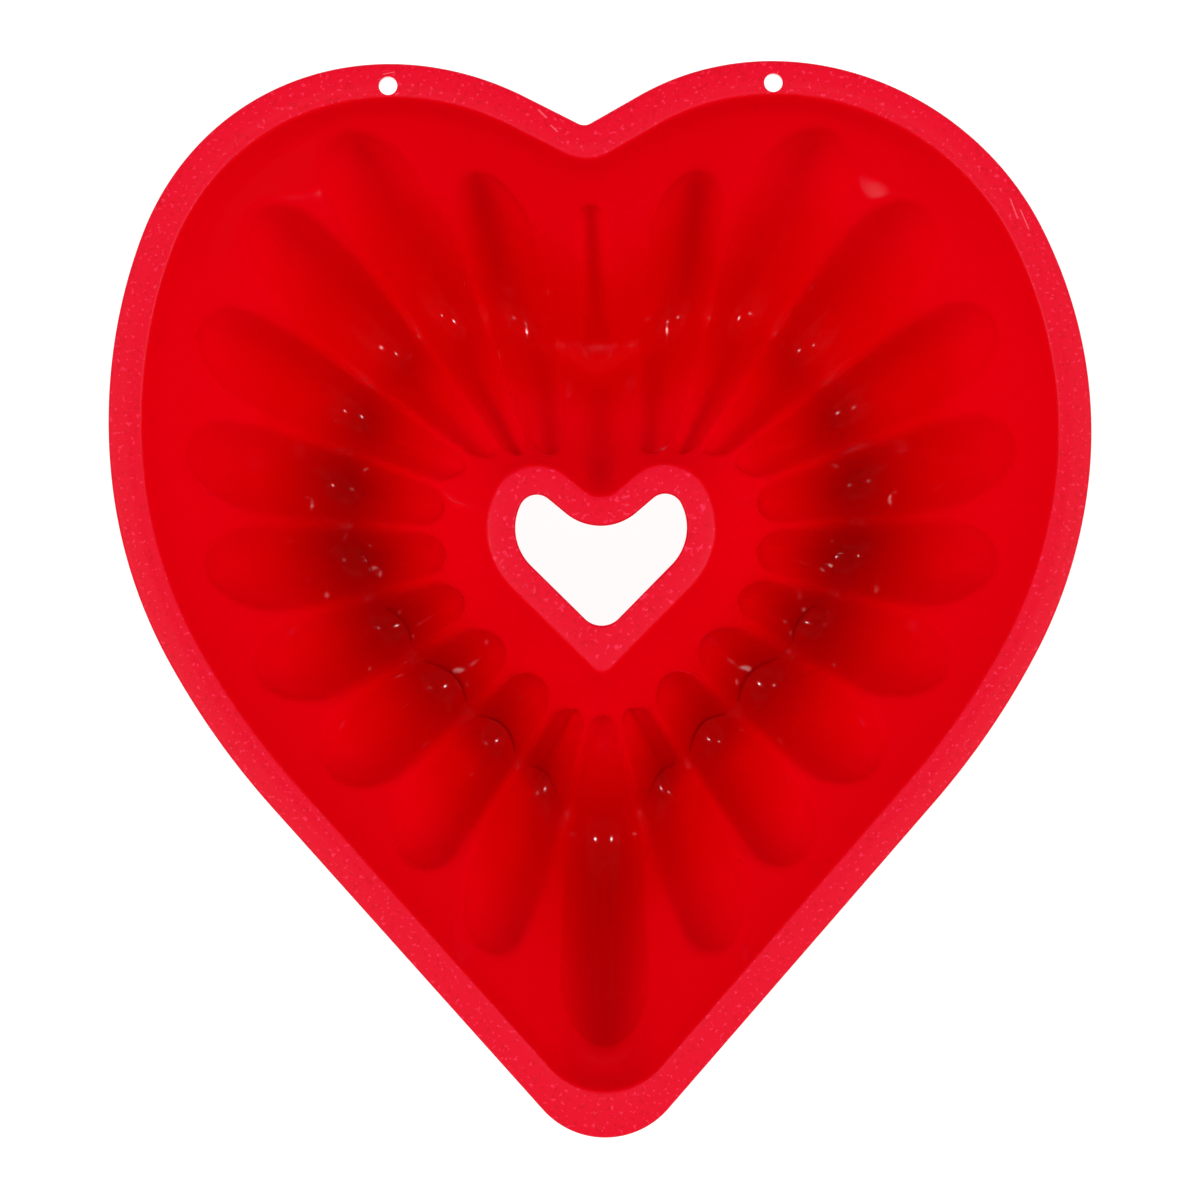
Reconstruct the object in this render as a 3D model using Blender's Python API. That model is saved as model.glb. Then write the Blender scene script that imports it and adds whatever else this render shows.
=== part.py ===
# Heart-shaped fluted ring mould, compression moulded in one piece from red silicone rubber.
# Tip of the heart towards -Y, notch towards +Y, cavity open to +Z, standing on z = 0. Metres.
import bpy
import bmesh
import numpy as np
from math import radians, sin, cos, tan, pi, sqrt

for old in list(bpy.data.objects):
    bpy.data.objects.remove(old, do_unlink=True)

MM = 0.001

# ---------------------------------------------------------------- driving sizes
HEIGHT = 60.0 * MM              # table to the top of the rim flange
SKIN = 2.2 * MM                 # moulded wall, measured square to the smooth wall
FLANGE_T = 2.6 * MM             # thickness of the rim flange
FLANGE_W = 8.3 * MM             # flat width of the rim flange
FLANGE_CORNER_R = 18.0 * MM     # inner corner of the flange at the heart's tip
EDGE_R = 0.8 * MM               # rounding where the flange turns down into the cavity
EDGE_RUN = 0.32 * MM            # how far that rounding reaches in past the flange
LIP_DROP = 7.5 * MM             # short steep band under the flange
LIP_RUN = 3.4 * MM

TUBE_DROP = 4.0 * MM            # tube rim below the flange
TUBE_RIM_W = 7.0 * MM           # flat width of the tube rim
TUBE_CORNER_R = 2.5 * MM        # outer corner of the tube rim at its tip
TUBE_LIP_DROP = 3.0 * MM
TUBE_LIP_RUN = 1.6 * MM

HANG_HOLE_D = 4.5 * MM          # two holes to hang the mould by
HANG_HOLE_X = 47.0 * MM
HANG_HOLE_IN = 5.4 * MM         # hole centre to the edge of the rim, square across at the top of a lobe
HANG_HOLE_SIDES = 24
CUT_LENGTH = 4.0 * FLANGE_T

VALLEY = 0.58                   # deepest line, as a share of the way from flange to tube
VALLEY_SIDE = 0.03              # taken off that share half way round each side
ROUNDING = 0.17                 # how softly the two walls meet along the valley
FLUTE_DEPTH = 0.55              # trough depth as a share of the usual half width there
FLUTE_DEPTH_MOST = 0.78         # and never more than this share of its own half width
FLUTE_HALF_W = 12.3 * MM        # widest half width of a trough
HALF_PITCH_RIM = 14.5 * MM      # usual half pitch of the troughs at the flange
HALF_PITCH_TUBE = 5.0 * MM      # and at the tube
HEAD_GAP = 5.0 * MM             # lip to the rounded outer end of a trough
ROOT_GAP = 10.0 * MM             # tube lip to the rounded inner end of a trough, tip and sides
ROOT_GAP_TOP = 2.0 * MM         # the same over the lobes and the notch
ROOT_GAP_TURN = (0.60, 0.82)    # where, along half of the heart, one gap gives way to the other
# where the 22 troughs' ends sit along half of the heart, tip of the heart = 0, notch = 1
HEADS = [0.0, 0.132, 0.201, 0.281, 0.368, 0.456, 0.544, 0.635, 0.731, 0.816, 0.904, 1.0]
ROOTS = [0.0, 0.122, 0.194, 0.273, 0.364, 0.469, 0.562, 0.649, 0.716, 0.772, 0.837, 1.0]

# half outlines as a run of tangent pieces from the tip round to the notch:
# tip radius, tip turn in degrees, straight side, (radius, turn) arcs, notch radius
RIM = dict(tip_y=-131.4 * MM, tip_r=20.4 * MM, turn=48.6, side=99.0 * MM,
           arcs=[(192.0 * MM, 13.1), (118.5 * MM, 52.4), (69.0 * MM, 94.1)], notch_r=3.1 * MM)
HOLE = dict(tip_y=-6.4 * MM, tip_r=5.8 * MM, turn=45.0, side=18.5 * MM,
            arcs=[(13.0 * MM, 71.0), (4.4 * MM, 104.0)], notch_r=13.4 * MM)

COLS = 6                        # columns across one trough
TIP_COLS = 18                   # finer round the tip of the heart
NOTCH_COLS = (0.08, 0.03)       # two more columns close to the notch, as shares of a trough
SLOPE_STEP = 0.01 * MM          # step for taking the wall's slope
RED = (0.60, 0.0015, 0.006, 1.0)
GLOSS = 0.38


# ---------------------------------------------------------------- heart outlines
def half_pieces(shape, inset=0.0, corner_r=None):
    """Tangent pieces of half a heart, moved inwards by inset: (x, y, heading, radius, turn, length)."""
    turn = radians(shape["turn"])
    corner = shape["tip_r"] - inset if corner_r is None else corner_r
    sharp_y = shape["tip_y"] - shape["tip_r"] * (1.0 / cos(turn) - 1.0) + inset / cos(turn)
    x = 0.0
    y = sharp_y + corner * (1.0 / cos(turn) - 1.0)
    heading = 0.0
    side = shape["side"] + (shape["tip_r"] - inset - corner) * tan(turn)
    steps = [(corner, turn, 0.0), (0.0, 0.0, side)]
    steps += [(radius - inset, radians(sweep), 0.0) for radius, sweep in shape["arcs"]]
    pieces = []
    for radius, sweep, run in steps:
        pieces.append((x, y, heading, radius, sweep, run))
        x, y, heading = along(pieces[-1], 1.0)
    over = heading - pi
    notch = shape["notch_r"] + inset
    pieces.append((x, y, heading, 0.0, 0.0, (x - notch * sin(over)) / -cos(heading)))
    x, y, heading = along(pieces[-1], 1.0)
    pieces.append((x, y, heading, -notch, over, 0.0))
    return pieces


def along(piece, share):
    """Point and heading part of the way along one piece; a negative radius bends the other way."""
    x, y, heading, radius, sweep, run = piece
    if radius == 0.0:
        return x + run * share * cos(heading), y + run * share * sin(heading), heading
    bend = heading + sweep * share * (1.0 if radius > 0.0 else -1.0)
    return (x + radius * (sin(bend) - sin(heading)),
            y - radius * (cos(bend) - cos(heading)), bend)


def stations(pieces, shares):
    """Turn shares of the whole half length into (piece number, share of that piece)."""
    lengths = [p[5] if p[3] == 0.0 else abs(p[3]) * p[4] for p in pieces]
    ends = np.cumsum(lengths)
    out = []
    for share in shares:
        where = share * ends[-1]
        n = min(int(np.searchsorted(ends, where)), len(pieces) - 1)
        out.append((n, (where - (ends[n] - lengths[n])) / lengths[n]))
    return out


def loop(pieces, spots):
    """Plan points of a closed heart loop; the spots run tip to notch and come back mirrored."""
    right = np.array([along(pieces[n], share)[:2] for n, share in spots])
    left = right[-2:0:-1] * (-1.0, 1.0)
    return np.vstack([right, left])


def spread(knots, places):
    """Smooth run of trough positions round the half loop, odd about both ends."""
    known = [-v for v in reversed(knots[1:3])] + list(knots) + [2.0 - v for v in reversed(knots[-3:-1])]
    index = np.arange(-2, half_flutes + 3)
    return [float(np.mean([np.interp(u + d, index, known) for d in np.linspace(-0.5, 0.5, 9)]))
            for u in places]


half_flutes = len(HEADS) - 1
places = [n / TIP_COLS for n in range(TIP_COLS // 2)]
places += [n / COLS for n in range(COLS // 2, half_flutes * COLS)]
places += [half_flutes - gap for gap in NOTCH_COLS] + [float(half_flutes)]
rim_ref = half_pieces(RIM, FLANGE_W + LIP_RUN + HEAD_GAP, FLANGE_CORNER_R - LIP_RUN)
tube_ref = half_pieces(HOLE, -TUBE_RIM_W - TUBE_LIP_RUN - ROOT_GAP_TOP)
rim_spots = stations(rim_ref, spread(HEADS, places))
tube_spots = stations(tube_ref, spread(ROOTS, places))

flange_out = loop(half_pieces(RIM), rim_spots)
flange_in = loop(half_pieces(RIM, FLANGE_W, FLANGE_CORNER_R), rim_spots)
tube_out = loop(half_pieces(HOLE, -TUBE_RIM_W, TUBE_CORNER_R), tube_spots)
tube_hole = loop(half_pieces(HOLE), tube_spots)
columns = len(flange_in)
middle = (flange_out.max(axis=0) + flange_out.min(axis=0)) / 2.0
for outline in (flange_out, flange_in, tube_out, tube_hole):
    outline -= middle
round_at = np.array(places + places[-2:0:-1])           # trough number under each column, both halves
across = 2.0 * np.abs(round_at - np.round(round_at))    # 0 on a trough's middle line, 1 on a ridge
ridges = np.flatnonzero(across == 1.0)
after = ridges[np.searchsorted(ridges, np.arange(columns), side="right") % len(ridges)]
before = ridges[np.searchsorted(ridges, np.arange(columns), side="right") - 1]

# ---------------------------------------------------------------- smooth wall between flange and tube
span = tube_out - flange_in
width = np.hypot(span[:, 0], span[:, 1])
inward = span / width[:, None]
valley_at = (VALLEY - VALLEY_SIDE * np.sin(pi * round_at / half_flutes) ** 2) * width
root_gap = np.interp(round_at / half_flutes, ROOT_GAP_TURN, (ROOT_GAP, ROOT_GAP_TOP))
lip_z = HEIGHT - LIP_DROP
tube_z = HEIGHT - TUBE_DROP
tube_lip_z = tube_z - TUBE_LIP_DROP


def soft(t):
    return (np.sqrt(t * t + ROUNDING * ROUNDING) - ROUNDING) / (sqrt(1.0 + ROUNDING * ROUNDING) - ROUNDING)


def wall_z(x, floor_z):
    """Height of the smooth wall at a distance x in from the flange, one value per column."""
    outer = (valley_at - x) / (valley_at - LIP_RUN)
    inner = (x - valley_at) / (width - TUBE_LIP_RUN - valley_at)
    return floor_z + np.where(x < valley_at, (lip_z - floor_z) * soft(outer),
                              (tube_lip_z - floor_z) * soft(inner))


def trough(x, points):
    """Depth of the fluting square to the smooth wall, one value per column."""
    pitch = 0.5 * np.hypot(*(points[after] - points[before]).T)
    half = np.minimum(FLUTE_HALF_W, pitch)
    usual_half = np.minimum(FLUTE_HALF_W, HALF_PITCH_RIM + (HALF_PITCH_TUBE - HALF_PITCH_RIM) * x / width)
    depth = np.minimum(FLUTE_DEPTH * usual_half, FLUTE_DEPTH_MOST * half)
    head = np.maximum(0.0, half - (x - LIP_RUN - HEAD_GAP))
    root = np.maximum(0.0, half - (width - TUBE_LIP_RUN - root_gap - x))
    away = np.hypot(across * pitch, np.maximum(head, root)) / half
    return depth * np.maximum(0.0, 1.0 - away * away)


def wall_row(x, floor_z):
    """One row of the cavity wall and the matching row of the outside, for distances x."""
    points = flange_in + inward * x[:, None]
    z = wall_z(x, floor_z)
    slope = (wall_z(x + SLOPE_STEP, floor_z) - wall_z(x - SLOPE_STEP, floor_z)) / (2.0 * SLOPE_STEP)
    tilt = np.sqrt(1.0 + slope * slope)
    depth = trough(x, points)
    rows = []
    for push in (depth, depth + SKIN):
        xy = points + inward * (push * slope / tilt)[:, None]
        rows.append(np.column_stack([xy, z - push / tilt]))
    return rows


def flat_row(points, z):
    return np.column_stack([points, np.full(columns, z)])


# distances in from the flange as shares of lip-to-valley and valley-to-tube-lip
outer_shares = (0.0, 0.05, 0.12, 0.22, 0.36, 0.55, 0.77, 1.0)
inner_shares = (0.25, 0.50, 0.73, 0.90, 1.0)
wall_x = [LIP_RUN + (valley_at - LIP_RUN) * s for s in outer_shares]
wall_x += [valley_at + (width - TUBE_LIP_RUN - valley_at) * s for s in inner_shares]

# lift the valley until the deepest trough just touches the table
floor_z = SKIN
for settle in range(4):
    floor_z -= min(wall_row(x, floor_z)[1][:, 2].min() for x in wall_x)

top = [flat_row(flange_out, HEIGHT), flat_row(flange_in - inward * EDGE_R, HEIGHT),
       flat_row(flange_in + inward * EDGE_RUN, HEIGHT - EDGE_R)]
under = [flat_row(flange_out, HEIGHT - FLANGE_T), flat_row(flange_in - inward * SKIN, HEIGHT - FLANGE_T)]
for x in wall_x:
    cavity, outside = wall_row(x, floor_z)
    top.append(cavity)
    under.append(outside)
top += [flat_row(tube_out - inward * EDGE_RUN, tube_z - EDGE_R), flat_row(tube_out + inward * EDGE_R, tube_z),
        flat_row(tube_hole, tube_z)]
under += [flat_row(tube_out + inward * SKIN, tube_z - SKIN), flat_row(tube_hole, tube_z - SKIN)]

# ---------------------------------------------------------------- closed skin
silicone = bpy.data.materials.new("red_silicone")
silicone.use_nodes = True
shader = silicone.node_tree.nodes["Principled BSDF"]
shader.inputs["Base Color"].default_value = RED
shader.inputs["Roughness"].default_value = GLOSS

bm = bmesh.new()
rows = top + under[::-1]
rings = [[bm.verts.new(p) for p in row] for row in rows]
for a, b in zip(rings, rings[1:] + rings[:1]):
    for n in range(columns):
        m = (n + 1) % columns
        bm.faces.new((a[n], a[m], b[m], b[n]))
bmesh.ops.recalc_face_normals(bm, faces=bm.faces)
mesh = bpy.data.meshes.new("pan_body")
bm.to_mesh(mesh)
bm.free()
pan = bpy.data.objects.new("pan_body", mesh)
bpy.context.scene.collection.objects.link(pan)
mesh.materials.append(silicone)
for face in mesh.polygons:
    face.use_smooth = True
mesh.set_sharp_from_angle(angle=radians(40.0))

# hanging holes through the flange, above the lobes
widest = int(np.argmax(flange_out[:, 0]))
lobe_edge = flange_out[widest:len(places)][::-1]
hole_y = float(np.interp(HANG_HOLE_X, lobe_edge[:, 0], lobe_edge[:, 1])) - HANG_HOLE_IN
for side in (-1.0, 1.0):
    bpy.ops.mesh.primitive_cylinder_add(vertices=HANG_HOLE_SIDES, radius=HANG_HOLE_D / 2, depth=CUT_LENGTH,
                                        location=(side * HANG_HOLE_X, hole_y, HEIGHT - FLANGE_T / 2))
    cutter = bpy.context.object
    cutter.name = "cut_hang_hole"
    cutter.hide_render = True
    cutter.display_type = "WIRE"
    cut = pan.modifiers.new("hang_hole", "BOOLEAN")
    cut.operation = "DIFFERENCE"
    cut.solver = "EXACT"
    cut.object = cutter
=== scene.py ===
from math import cos, pi, radians, sin, sqrt, tan

import bmesh
import bpy
import numpy as np
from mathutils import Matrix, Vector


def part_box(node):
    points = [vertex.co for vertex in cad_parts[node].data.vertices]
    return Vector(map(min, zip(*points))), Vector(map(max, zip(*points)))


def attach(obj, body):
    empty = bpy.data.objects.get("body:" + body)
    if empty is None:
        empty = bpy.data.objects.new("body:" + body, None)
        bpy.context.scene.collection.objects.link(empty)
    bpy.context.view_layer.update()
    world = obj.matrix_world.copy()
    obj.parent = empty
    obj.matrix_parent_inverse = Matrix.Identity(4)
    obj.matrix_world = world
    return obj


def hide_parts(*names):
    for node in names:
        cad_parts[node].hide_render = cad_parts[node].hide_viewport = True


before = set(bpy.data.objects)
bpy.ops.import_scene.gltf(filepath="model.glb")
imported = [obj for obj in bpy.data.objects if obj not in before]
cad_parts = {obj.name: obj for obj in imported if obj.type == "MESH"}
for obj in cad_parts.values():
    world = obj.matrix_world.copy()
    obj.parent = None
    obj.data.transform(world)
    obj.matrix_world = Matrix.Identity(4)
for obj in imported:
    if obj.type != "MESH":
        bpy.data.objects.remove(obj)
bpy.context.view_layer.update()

# ---------------------------------------------------------------- the mould
# The whole mould is one skin of soft silicone rubber, pressed between two steel halves. A flat rim
# runs round the heart, a steep lip drops from it into the fluted ring channel, and the tube in the
# middle ends in a flat heart-shaped rim round its opening. Nothing is fixed to it.
MM = 0.001
pan_low, pan_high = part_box("pan_body")
RIM_Z = pan_high[2]             # top of the flat rim
SKIN = 2.2 * MM
RIM_T = 2.6 * MM
RIM_W = 8.3 * MM
RIM_CORNER_R = 18.0 * MM        # inner corner of the rim at the heart's tip
LIP_DROP = 7.5 * MM
LIP_RUN = 3.4 * MM
TUBE_Z = RIM_Z - 4.0 * MM       # top of the tube's rim
TUBE_RIM_W = 7.0 * MM
TUBE_CORNER_R = 2.5 * MM
TUBE_LIP_DROP = 3.0 * MM
TUBE_LIP_RUN = 1.6 * MM
EDGE_SOFT = 1.0 * MM            # softness of the turn from rim to lip
FOOT_SOFT = 1.6 * MM            # and from lip to wall
OUTER_EDGE_R = 0.7 * MM         # the rim's outer edge
UNDER_EDGE = 0.3 * MM           # bevel of the lower edges
CLEAR_OF_TABLE = 0.05 * MM      # the fine skin stays inside the solid's height by this

VALLEY = 0.58                   # deepest line, as a share of the way from rim to tube
VALLEY_SIDE = 0.03              # taken off that share half way round each side
ROUNDING = 0.17                 # how softly the two walls meet along the valley
FLUTE_DEPTH = 0.55              # trough depth as a share of the usual half width there
FLUTE_DEPTH_MOST = 0.78         # and never more than this share of its own half width
FLUTE_HALF_W = 12.3 * MM        # widest usual half width of a trough
HALF_PITCH_RIM = 14.5 * MM      # usual half pitch of the troughs at the rim
HALF_PITCH_TUBE = 5.0 * MM      # and at the tube
HEAD_GAP = 5.0 * MM             # usual gap between the lip and a trough's outer end
# the same gap for each trough by itself, from the tip's trough round to the notch's
HEAD_GAPS = [gap * MM for gap in (6.1, 2.8, 3.1, 3.6, 4.1, 4.9, 5.9, 6.5, 7.8, 2.9, 10.5, 6.6)]
# widest half width of each trough; the one in the notch is narrow
HALF_WS = [11.0 * MM] + [FLUTE_HALF_W] * 9 + [11.0 * MM, 4.0 * MM]
ROOT_GAP = 10.0 * MM            # tube lip to a trough's inner end, tip and sides
ROOT_GAP_TOP = 2.0 * MM         # the same over the lobes
ROOT_GAP_NOTCH = 34.0 * MM      # the notch's narrow trough stops short of the valley
ROOT_GAP_TURN = (0.60, 0.82)    # where, along half of the heart, one gap gives way to the other
RIDGE_SOFT = 0.16               # rounding of the crests between troughs, in half pitches
HEAD_SOFT = 0.10                # rounding where a trough runs out into the smooth wall
# where the 22 troughs' ends sit along half of the heart, tip of the heart = 0, notch = 1
HEADS = [0.0, 0.132, 0.201, 0.281, 0.368, 0.456, 0.544, 0.635, 0.731, 0.816, 0.904, 1.0]
ROOTS = [0.0, 0.122, 0.194, 0.273, 0.364, 0.469, 0.562, 0.649, 0.716, 0.772, 0.837, 1.0]
half_flutes = len(HEADS) - 1

# half outlines as a run of tangent pieces from the tip round to the notch:
# tip radius, tip turn in degrees, straight side, (radius, turn) arcs, notch radius
RIM = dict(tip_y=-131.4 * MM, tip_r=20.4 * MM, turn=48.6, side=99.0 * MM,
           arcs=[(192.0 * MM, 13.1), (118.5 * MM, 52.4), (69.0 * MM, 94.1)], notch_r=3.1 * MM)
OPENING = dict(tip_y=-6.4 * MM, tip_r=5.8 * MM, turn=45.0, side=18.5 * MM,
               arcs=[(13.0 * MM, 71.0), (4.4 * MM, 104.0)], notch_r=13.4 * MM)


def along(piece, share):
    """Point and heading part of the way along one straight or arc; a negative radius bends back."""
    x, y, heading, radius, sweep, run = piece
    if radius == 0.0:
        return x + run * share * cos(heading), y + run * share * sin(heading), heading
    bend = heading + sweep * share * (1.0 if radius > 0.0 else -1.0)
    return (x + radius * (sin(bend) - sin(heading)),
            y - radius * (cos(bend) - cos(heading)), bend)


def half_heart(shape, inset=0.0, corner_r=None):
    """Straights and arcs of half a heart from tip to notch, moved inwards by inset."""
    turn = radians(shape["turn"])
    corner = shape["tip_r"] - inset if corner_r is None else corner_r
    sharp_y = shape["tip_y"] - shape["tip_r"] * (1.0 / cos(turn) - 1.0) + inset / cos(turn)
    x, y, heading = 0.0, sharp_y + corner * (1.0 / cos(turn) - 1.0), 0.0
    side = shape["side"] + (shape["tip_r"] - inset - corner) * tan(turn)
    steps = [(corner, turn, 0.0), (0.0, 0.0, side)]
    steps += [(radius - inset, radians(sweep), 0.0) for radius, sweep in shape["arcs"]]
    pieces = []
    for radius, sweep, run in steps:
        pieces.append((x, y, heading, radius, sweep, run))
        x, y, heading = along(pieces[-1], 1.0)
    over = heading - pi
    notch = shape["notch_r"] + inset
    pieces.append((x, y, heading, 0.0, 0.0, (x - notch * sin(over)) / -cos(heading)))
    x, y, heading = along(pieces[-1], 1.0)
    pieces.append((x, y, heading, -notch, over, 0.0))
    return pieces


def spots_on(pieces, shares):
    """Shares of the half length as (piece number, share of that piece)."""
    lengths = [p[5] if p[3] == 0.0 else abs(p[3]) * p[4] for p in pieces]
    ends = np.cumsum(lengths)
    spots = []
    for share in shares:
        n = min(int(np.searchsorted(ends, share * ends[-1])), len(pieces) - 1)
        spots.append((n, (share * ends[-1] - (ends[n] - lengths[n])) / lengths[n]))
    return spots


def loop(pieces, spots):
    """Closed loop of plan points: the right half from tip to notch, then the left half back."""
    right = np.array([along(pieces[n], share)[:2] for n, share in spots])
    return np.vstack([right, right[-2:0:-1] * (-1.0, 1.0)])


def spread(knots, trough):
    """Smooth run of the trough ends along half of the heart."""
    past_tip = [-v for v in reversed(knots[1:3])]
    past_notch = [2.0 - v for v in reversed(knots[-3:-1])]
    known = past_tip + list(knots) + past_notch
    number = np.arange(-2, half_flutes + 3)
    window = np.linspace(-0.5, 0.5, 9)
    return [float(np.mean([np.interp(u + d, number, known) for d in window])) for u in trough]


# columns as (from trough, to trough, how many), closer together round the tip and in the notch
COLUMN_RUNS = [(0.0, 0.5, 26), (0.5, 10.75, 288), (10.75, 11.0, 22)]
troughs = np.concatenate([np.linspace(*run)[:-1] for run in COLUMN_RUNS] + [[half_flutes]])
rim_ref = half_heart(RIM, RIM_W + LIP_RUN + HEAD_GAP, RIM_CORNER_R - LIP_RUN)
tube_ref = half_heart(OPENING, -TUBE_RIM_W - TUBE_LIP_RUN - ROOT_GAP_TOP)
rim_spots = spots_on(rim_ref, spread(HEADS, troughs))
tube_spots = spots_on(tube_ref, spread(ROOTS, troughs))
rim_out = loop(half_heart(RIM), rim_spots)
rim_in = loop(half_heart(RIM, RIM_W, RIM_CORNER_R), rim_spots)
tube_out = loop(half_heart(OPENING, -TUBE_RIM_W, TUBE_CORNER_R), tube_spots)
tube_hole = loop(half_heart(OPENING), tube_spots)
middle = (rim_out.max(axis=0) + rim_out.min(axis=0)) / 2.0
for outline in (rim_out, rim_in, tube_out, tube_hole):
    outline -= middle

round_at = np.concatenate([troughs, troughs[-2:0:-1]])
head_gap = np.array(HEAD_GAPS)[np.round(round_at).astype(int)]
half_w = np.array(HALF_WS)[np.round(round_at).astype(int)]
columns = len(round_at)
offset = 2.0 * np.abs(round_at - np.round(round_at))        # 0 on a trough's axis, 1 on a crest


def softened(value, soft):
    """The value itself, 0 to 1, with its sharp corner at 0 rounded."""
    return (np.sqrt(value ** 2 + soft ** 2) - soft) / (sqrt(1.0 + soft ** 2) - soft)


across = 1.0 - softened(1.0 - offset, RIDGE_SOFT)
span = tube_out - rim_in
width = np.hypot(span[:, 0], span[:, 1])
inward = span / width[:, None]
valley_at = (VALLEY - VALLEY_SIDE * np.sin(pi * round_at / half_flutes) ** 2) * width
root_gap = np.interp(round_at / half_flutes, ROOT_GAP_TURN, (ROOT_GAP, ROOT_GAP_TOP))
root_gap = np.where(np.round(round_at) == half_flutes, ROOT_GAP_NOTCH, root_gap)
lip_z = RIM_Z - LIP_DROP
tube_lip_z = TUBE_Z - TUBE_LIP_DROP
# the crest on either side of every column, on the right half and mirrored on the left
turn_round = np.concatenate([troughs, 2.0 * half_flutes - troughs[-2:0:-1]])
nearest = np.round(turn_round)
full_turn = 2 * half_flutes
side_a, side_b = [np.interp((nearest + half) % full_turn, np.append(turn_round, full_turn),
                            np.arange(columns + 1)) for half in (-0.5, 0.5)]


def at_columns(points, where):
    """Points between columns, by fractional column number round the closed loop."""
    first = np.floor(where).astype(int)
    part = (where - first)[:, None]
    return points[first % columns] * (1.0 - part) + points[(first + 1) % columns] * part


def blend_low(a, b, soft):
    """The lower of two heights, with the corner between them rounded."""
    return (a + b - np.sqrt((a - b) ** 2 + soft ** 2)) / 2.0


def blend_high(a, b, soft):
    """The higher of two heights, with the corner between them rounded."""
    return (a + b + np.sqrt((a - b) ** 2 + soft ** 2)) / 2.0


def wall_z(x, floor_z):
    """Height of the smooth wall at a distance x in from the rim, without troughs."""
    side = np.where(x < valley_at, (valley_at - x) / (valley_at - LIP_RUN),
                    (x - valley_at) / (width - TUBE_LIP_RUN - valley_at))
    wall_top = np.where(x < valley_at, lip_z, tube_lip_z)
    z = floor_z + (wall_top - floor_z) * softened(side, ROUNDING)
    lip = RIM_Z - x * LIP_DROP / LIP_RUN
    tube_lip = TUBE_Z - (width - x) * TUBE_LIP_DROP / TUBE_LIP_RUN
    outer = blend_low(np.full(columns, RIM_Z), blend_high(lip, z, FOOT_SOFT), EDGE_SOFT)
    inner = blend_low(np.full(columns, TUBE_Z), blend_high(tube_lip, z, FOOT_SOFT), EDGE_SOFT)
    return np.where(x < valley_at, outer, inner)


def trough(x, points):
    """Depth of the fluting square to the smooth wall."""
    ends = at_columns(points, side_b) - at_columns(points, side_a)
    pitch = 0.5 * np.hypot(ends[:, 0], ends[:, 1])
    half = np.minimum(half_w, pitch)
    usual_pitch = HALF_PITCH_RIM + (HALF_PITCH_TUBE - HALF_PITCH_RIM) * x / width
    usual_half = np.minimum(FLUTE_HALF_W, usual_pitch)
    depth = np.minimum(FLUTE_DEPTH * usual_half, FLUTE_DEPTH_MOST * half)
    head = np.maximum(0.0, half - (x - LIP_RUN - head_gap))
    root = np.maximum(0.0, half - (width - TUBE_LIP_RUN - root_gap - x))
    away = np.hypot(across * pitch, np.maximum(head, root)) / half
    rise = 1.0 - away * away
    return depth * (rise + np.sqrt(rise * rise + HEAD_SOFT ** 2)) / 2.0


SLOPE_STEP = 0.02 * MM          # step for taking the wall's slope


def wall_row(x, floor_z, push):
    """A row of points at distances x, moved square to the smooth wall by the trough and by push."""
    points = rim_in + inward * x[:, None]
    z = wall_z(x, floor_z)
    rise = wall_z(x + SLOPE_STEP, floor_z) - wall_z(x - SLOPE_STEP, floor_z)
    slope = rise / (2.0 * SLOPE_STEP)
    tilt = np.sqrt(1.0 + slope * slope)
    push = trough(x, points) + push
    xy = points + inward * (push * slope / tilt)[:, None]
    return np.column_stack([xy, z - push / tilt])


def flat_row(points, z):
    """A level row of points."""
    return np.column_stack([points, np.full(columns, z)])


# distances in from the rim's inner edge: close together on the lips, even over the walls
OUTER_WALL_ROWS = 43
INNER_WALL_ROWS = 28
lip_x = np.array([-2.2, -1.6, -1.1, -0.7, -0.3, 0.1, 0.5, 0.9, 1.4,
                  1.9, 2.4, 2.9, 3.4, 4.0, 4.7, 5.5]) * MM
tube_x = np.array([4.6, 3.8, 3.1, 2.5, 2.0, 1.5, 1.1, 0.7, 0.3, -0.1, -0.5, -1.0, -1.6]) * MM
outer_part = np.linspace(0.0, 1.0, OUTER_WALL_ROWS + 1)[1:]
inner_part = np.linspace(0.0, 1.0, INNER_WALL_ROWS + 2)[1:-1]
wall_x = [np.full(columns, x) for x in lip_x]
wall_x += [lip_x[-1] + (valley_at - lip_x[-1]) * s for s in outer_part]
wall_x += [valley_at + (width - tube_x[0] - valley_at) * s for s in inner_part]
wall_x += [width - x for x in tube_x]

# the valley's height, settled so that the deepest trough stands on the table
low_x = wall_x[len(lip_x):80:2]
floor_z = SKIN
for settle in range(4):
    lowest = min(wall_row(x, floor_z, SKIN)[:, 2].min() for x in low_x)
    floor_z -= lowest - pan_low[2] - CLEAR_OF_TABLE

edge_turn = np.linspace(0.0, pi / 2, 6)
out_dir = (rim_out - rim_in) / np.hypot(*(rim_out - rim_in).T)[:, None]
hole_dir = (tube_hole - tube_out) / np.hypot(*(tube_hole - tube_out).T)[:, None]
rows = []
for t in edge_turn:                                  # outer edge, from its side up onto the rim
    rows.append(flat_row(rim_out - out_dir * OUTER_EDGE_R * (1.0 - cos(t)),
                         RIM_Z - OUTER_EDGE_R * (1.0 - sin(t))))
for share in (0.25, 0.5, 0.72):
    rows.append(flat_row(rim_out + (rim_in - rim_out) * share, RIM_Z))
rows += [wall_row(x, floor_z, 0.0) for x in wall_x]
for share in (0.35, 0.6, 0.8):
    rows.append(flat_row(tube_out + (tube_hole - tube_out) * share, TUBE_Z))
for t in edge_turn[::-1]:                            # into the opening
    rows.append(flat_row(tube_hole - hole_dir * OUTER_EDGE_R * (1.0 - cos(t)),
                         TUBE_Z - OUTER_EDGE_R * (1.0 - sin(t))))
rows.append(flat_row(tube_hole, TUBE_Z - SKIN + UNDER_EDGE))
rows.append(flat_row(tube_hole - hole_dir * UNDER_EDGE, TUBE_Z - SKIN))
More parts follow.
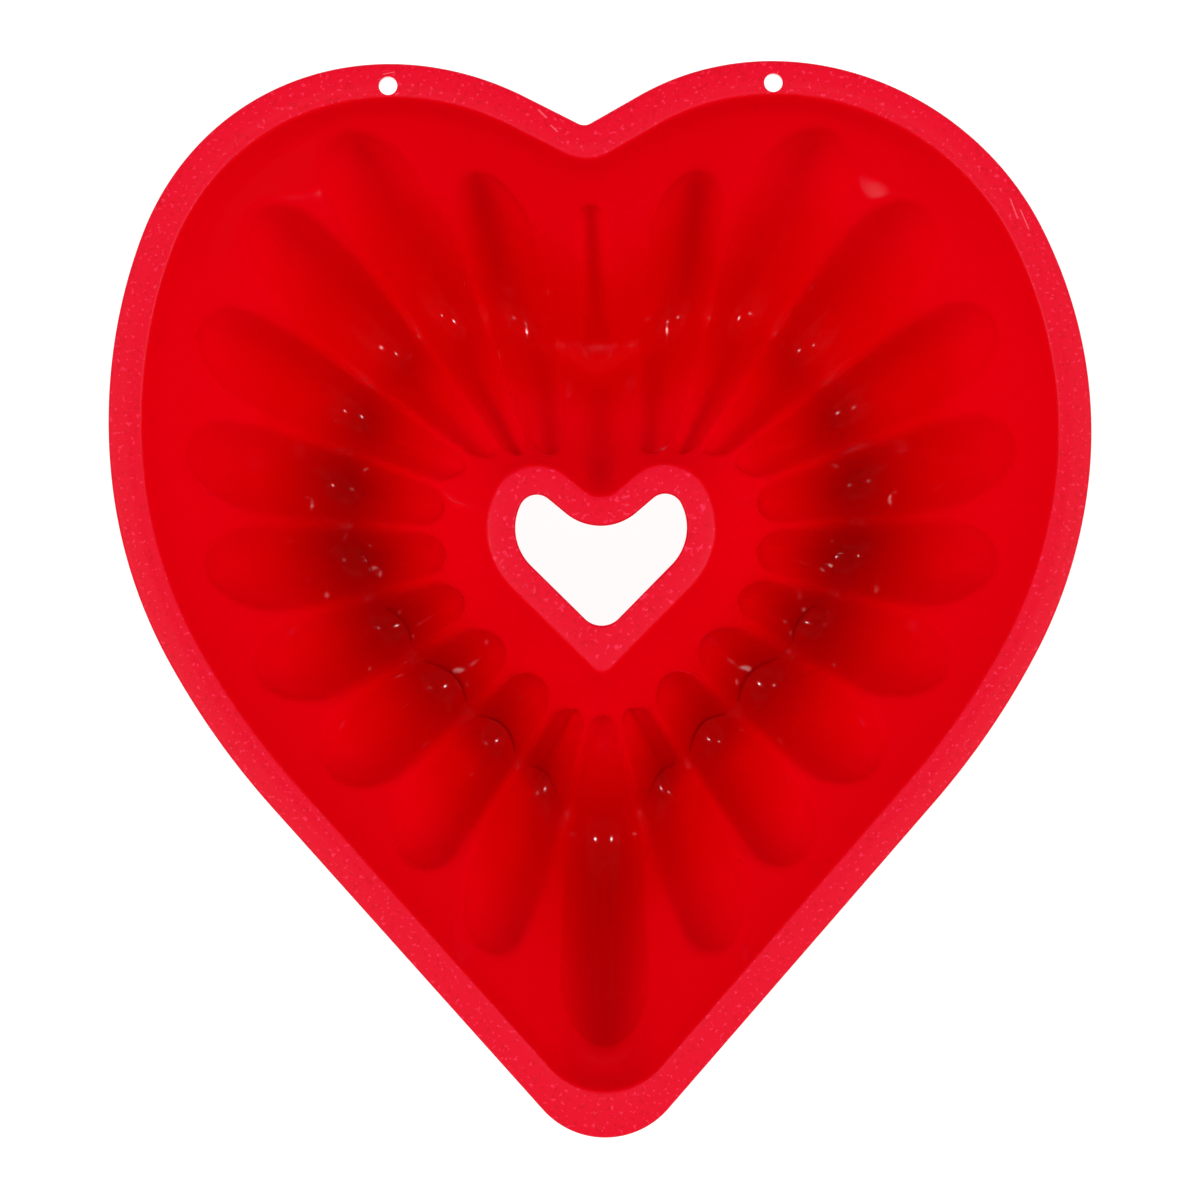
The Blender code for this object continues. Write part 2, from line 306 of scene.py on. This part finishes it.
under = [wall_row(x, floor_z, SKIN) for x in wall_x[12:-6:2]]
rows += under[::-1]                                  # back out along the underside
rows.append(flat_row(rim_in - inward * SKIN, RIM_Z - RIM_T))
rows.append(flat_row(rim_out - out_dir * UNDER_EDGE, RIM_Z - RIM_T))
rows.append(flat_row(rim_out, RIM_Z - RIM_T + UNDER_EDGE))

# the soft moulding lies a little skewed: the lobes and the notch lean to the left
LEAN = 4.6 * MM
LEAN_FROM = 30.0 * MM
lean_over = rows[0][:, 1].max() - LEAN_FROM


def lean(y):
    """How far to the side a point this far up the heart has moved."""
    share = np.clip((y - LEAN_FROM) / lean_over, 0.0, 1.0)
    return -LEAN * share * share


for row in rows:
    row[:, 0] += lean(row[:, 1])

bm = bmesh.new()
rings = [[bm.verts.new(p) for p in row] for row in rows]
for a, b in zip(rings, rings[1:] + rings[:1]):
    for n in range(columns):
        m = (n + 1) % columns
        bm.faces.new((a[n], a[m], b[m], b[n]))
bmesh.ops.recalc_face_normals(bm, faces=bm.faces)
mesh = bpy.data.meshes.new("mould")
bm.to_mesh(mesh)
bm.free()
mould = bpy.data.objects.new("mould", mesh)
bpy.context.scene.collection.objects.link(mould)

# two hanging holes punched through the rim at the top of the lobes
HANG_HOLE_D = 4.5 * MM
HANG_HOLE_X = 47.0 * MM
HANG_HOLE_IN = 5.4 * MM         # hole centre to the edge of the rim
HANG_HOLE_SIDES = 48
widest = int(np.argmax(rim_out[:, 0]))
lobe_edge = rim_out[widest:len(troughs)][::-1]
hole_y = float(np.interp(HANG_HOLE_X, lobe_edge[:, 0], lobe_edge[:, 1])) - HANG_HOLE_IN
for side in (-1.0, 1.0):
    hole_x = side * HANG_HOLE_X + float(lean(hole_y))
    bpy.ops.mesh.primitive_cylinder_add(vertices=HANG_HOLE_SIDES, radius=HANG_HOLE_D / 2,
                                        depth=4 * RIM_T, location=(hole_x, hole_y, RIM_Z))
    punch = bpy.context.object
    cut = mould.modifiers.new("hang_hole", "BOOLEAN")
    cut.operation = "DIFFERENCE"
    cut.solver = "EXACT"
    cut.object = punch
    bpy.context.view_layer.objects.active = mould
    bpy.ops.object.modifier_apply(modifier=cut.name)
    bpy.data.objects.remove(punch, do_unlink=True)
mesh = mould.data
for face in mesh.polygons:
    face.use_smooth = True
mesh.set_sharp_from_angle(angle=radians(50.0))


class Wire:
    """A value running through a finish; plain arithmetic on it adds the nodes that work it out."""
    tree = None

    def __init__(self, socket):
        self.socket = socket

    @classmethod
    def node(cls, kind, settings, values, out=0):
        made = cls.tree.nodes.new("ShaderNode" + kind)
        for name, value in settings.items():
            setattr(made, name, value)
        for name, value in values.items():
            if isinstance(value, cls):
                cls.tree.links.new(value.socket, made.inputs[name])
            else:
                made.inputs[name].default_value = value
        return cls(made.outputs[out])

    @classmethod
    def math(cls, operation, a, b):
        return cls.node("Math", {"operation": operation}, {0: a, 1: b})

    def __add__(self, other):
        return self.math("ADD", self, other)

    def __mul__(self, other):
        return self.math("MULTIPLY", self, other)

    def __sub__(self, other):
        return self.math("SUBTRACT", self, other)

    def __rsub__(self, other):
        return self.math("SUBTRACT", other, self)

    __radd__ = __add__
    __rmul__ = __mul__


silicone = bpy.data.materials.new("red_silicone")
silicone.use_nodes = True
Wire.tree = silicone.node_tree
shader = Wire.tree.nodes["Principled BSDF"]
shader.inputs["Specular IOR Level"].default_value = 0.20
place = Wire.node("TexCoord", {}, {}, "Object")


def spots(scale, detail=2.0, roughness=0.5):
    """Soft random spots, scale of them to a metre."""
    return Wire.node("TexNoise", {}, {"Vector": place, "Scale": scale, "Detail": detail,
                                      "Roughness": roughness})


def steps(value, low, high):
    """0 below low, 1 above high, smooth between."""
    return Wire.node("MapRange", {"interpolation_type": "SMOOTHSTEP"},
                     {"Value": value, "From Min": low, "From Max": high,
                      "To Min": 0.0, "To Max": 1.0})


def mix(share, a, b):
    """Colour a, with this share of colour b."""
    return Wire.node("Mix", {"data_type": "RGBA"}, {0: share, 6: a, 7: b}, 2)


left_right = Wire.node("SeparateXYZ", {}, {"Vector": place}, 0)
tip_notch = Wire.node("SeparateXYZ", {}, {"Vector": place}, 1)
height = Wire.node("SeparateXYZ", {}, {"Vector": place}, 2)

# the satin finish covers the flat of the rim and of the tube's rim, and ends at their edges
SATIN_FROM = 0.34 * MM
SATIN_FULL = 0.14 * MM
TUBE_REACH = (40.0 * MM, 44.0 * MM)
on_rim = steps(height, RIM_Z - SATIN_FROM, RIM_Z - SATIN_FULL)
out_square = left_right * left_right + tip_notch * tip_notch
by_tube = 1.0 - steps(out_square, TUBE_REACH[0] ** 2, TUBE_REACH[1] ** 2)
on_tube = steps(height, TUBE_Z - SATIN_FROM, TUBE_Z - SATIN_FULL) * by_tube
flat = Wire.math("MAXIMUM", on_rim, on_tube)
cloud = spots(35.0)
fine = spots(1400.0, 3.0, 0.65)
# pale specks on the flats: partly dust, partly painted tiny highlights
pale_speck_and_glint = steps(spots(900.0, 1.0), 0.62, 0.70)
# darker specks scattered at random over the flats
dark_speck = steps(spots(760.0, 1.0), 0.40, 0.32)


def scratch(start, end, half_width):
    """1 on a fine straight scratch between two plan points, 0 off it."""
    run_x, run_y = end[0] - start[0], end[1] - start[1]
    length = sqrt(run_x ** 2 + run_y ** 2)
    ux, uy = run_x / length, run_y / length
    dx = left_right - start[0]
    dy = tip_notch - start[1]
    along_it = dx * ux + dy * uy
    beside = dy * ux - dx * uy
    on_line = 1.0 - steps(beside * beside, (0.4 * half_width) ** 2, half_width ** 2)
    from_middle = along_it - 0.5 * length
    ends = from_middle * from_middle
    return on_line * (1.0 - steps(ends, (0.42 * length) ** 2, (0.5 * length) ** 2))


# handling marks: fine pale scratches on the rim by the right lobe and beside the notch, as
# start, end and half width in millimetres
SCRATCHES = [((100.4, 97.2), (102.3, 92.0), 0.22), ((102.8, 94.6), (105.0, 89.4), 0.20),
             ((-14.6, 119.8), (-12.4, 117.6), 0.30), ((-11.6, 116.0), (-9.8, 114.2), 0.24),
             ((-52.5, 128.6), (-49.4, 129.2), 0.16), ((42.6, 126.0), (44.0, 128.4), 0.16)]
worn = 0.0
for start, end, half_width in SCRATCHES:
    mark = scratch([v * MM for v in start], [v * MM for v in end], half_width * MM)
    worn = mark + worn

CAVITY_RED = (0.75, 0.0, 0.0045, 1.0)
# painted shade: the darker red of the deep channel
PAINTED_SHADE_RED = (0.66, 0.0, 0.0006, 1.0)
RIM_RED = (0.74, 0.0, 0.017, 1.0)
# colour of the pale specks, partly dust and partly painted tiny highlights
RIM_SPECK_AND_GLINT_PALE = (0.92, 0.035, 0.10, 1.0)
RIM_DARK = (0.60, 0.0, 0.008, 1.0)
SCRATCH_PALE = (0.90, 0.10, 0.14, 1.0)
# the red is painted darker down in the channel as painted shade of the deep valley, with an uneven
# edge to the change
# share of the lighter red above the painted shade of the channel
lit = steps(height + 20.0 * MM * cloud, 22.0 * MM, 48.0 * MM)
red = mix(lit, PAINTED_SHADE_RED, CAVITY_RED)
red = mix(flat, red, RIM_RED)
# pale specks on the flats, partly dust and partly painted tiny highlights
red = mix(flat * pale_speck_and_glint * 0.55, red, RIM_SPECK_AND_GLINT_PALE)
# darker specks scattered at random over the flats
red = mix(flat * dark_speck * 0.5, red, RIM_DARK)
red = mix(on_rim * worn * 0.7, red, SCRATCH_PALE)
Wire.tree.links.new(red.socket, shader.inputs["Base Color"])
rough = 0.06 + 0.02 * cloud + flat * (0.30 + 0.12 * fine)
Wire.tree.links.new(rough.socket, shader.inputs["Roughness"])
swell = spots(110.0, 1.0) * 0.06 + flat * fine * 0.6 - on_rim * worn * 0.5
skin_bump = Wire.node("Bump", {}, {"Strength": 1.0, "Distance": 0.05 * MM, "Height": swell})
Wire.tree.links.new(skin_bump.socket, shader.inputs["Normal"])
mesh.materials.append(silicone)
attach(mould, "root")
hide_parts("pan_body")

# ---------------------------------------------------------------- the table
# A wide sheet of white card under the mould, lit evenly from end to end. The mould lies loose
# on it.
TABLE_HALF = 3.0
TABLE_GAP = 0.2 * MM
bm = bmesh.new()
table_z = pan_low[2] - TABLE_GAP
bm.faces.new([bm.verts.new((x * TABLE_HALF, y * TABLE_HALF, table_z))
              for x, y in ((-1, -1), (1, -1), (1, 1), (-1, 1))])
table_mesh = bpy.data.meshes.new("table")
bm.to_mesh(table_mesh)
bm.free()
table = bpy.data.objects.new("table", table_mesh)
bpy.context.scene.collection.objects.link(table)
card = bpy.data.materials.new("white_card")
card.use_nodes = True
paper = card.node_tree.nodes["Principled BSDF"]
paper.inputs["Base Color"].default_value = (0.25, 0.25, 0.25, 1.0)
paper.inputs["Roughness"].default_value = 0.9
paper.inputs["Emission Color"].default_value = (1.0, 1.0, 1.0, 1.0)
paper.inputs["Emission Strength"].default_value = 0.96
table_mesh.materials.append(card)

# ---------------------------------------------------------------- the lamps
# Two big soft boxes, one on either side, give most of the light. A ring of weaker ones softens the
# shade, and two small lamps high up give the glints. The room adds a little even light.
# direction round the mould and height above the table in degrees, and strength
BIG_LAMPS = [(0, 42, 1.42), (180, 42, 1.42), (45, 42, 0.29), (135, 42, 0.29), (225, 42, 0.30),
             (315, 42, 0.30), (90, 42, 0.36), (270, 42, 0.20), (0, 20, 0.33), (180, 20, 0.33),
             (225, 20, 0.17), (315, 20, 0.17), (270, 20, 0.21)]
ALL_STRONGER = 0.99
LAMP_SPREAD = radians(24.0)
SMALL_LAMP = (0.42, -0.10, 1.10)
SMALL_LAMP_TILT = radians(21.0)
for around, up, strength in BIG_LAMPS:
    lamp_data = bpy.data.lights.new("soft_box", "SUN")
    lamp_data.energy = ALL_STRONGER * strength
    lamp_data.angle = LAMP_SPREAD
    lamp = bpy.data.objects.new("soft_box", lamp_data)
    lamp.rotation_euler = (0.0, radians(90.0 - up), radians(around))
    lamp.visible_glossy = False
    bpy.context.scene.collection.objects.link(lamp)
for side in (-1.0, 1.0):
    glint_data = bpy.data.lights.new("small_lamp", "AREA")
    glint_data.size = 0.05
    glint_data.energy = 1.8
    glint = bpy.data.objects.new("small_lamp", glint_data)
    glint.location = (side * SMALL_LAMP[0], SMALL_LAMP[1], SMALL_LAMP[2])
    glint.rotation_euler = (0.0, side * SMALL_LAMP_TILT, 0.0)
    glint.visible_diffuse = False
    bpy.context.scene.collection.objects.link(glint)
room = bpy.data.worlds.new("room")
room.use_nodes = True
sky = room.node_tree.nodes["Background"]
sky.inputs["Color"].default_value = (1.0, 1.0, 1.0, 1.0)
sky.inputs["Strength"].default_value = 0.05
bpy.context.scene.world = room

# ---------------------------------------------------------------- the camera
# Straight above the mould, over its middle, with a long lens.
CAMERA_ABOVE = 1.10
CAMERA_SIDE = -0.4 * MM
CAMERA_ROLL = radians(-0.45)
view_data = bpy.data.cameras.new("camera")
view_data.sensor_width = 36.0
view_data.lens = 135.3
camera = bpy.data.objects.new("camera", view_data)
camera.location = (CAMERA_SIDE, 0.0, RIM_Z + CAMERA_ABOVE)
camera.rotation_euler = (0.0, 0.0, CAMERA_ROLL)
bpy.context.scene.collection.objects.link(camera)
bpy.context.scene.camera = camera
bpy.context.scene.view_settings.view_transform = "Standard"
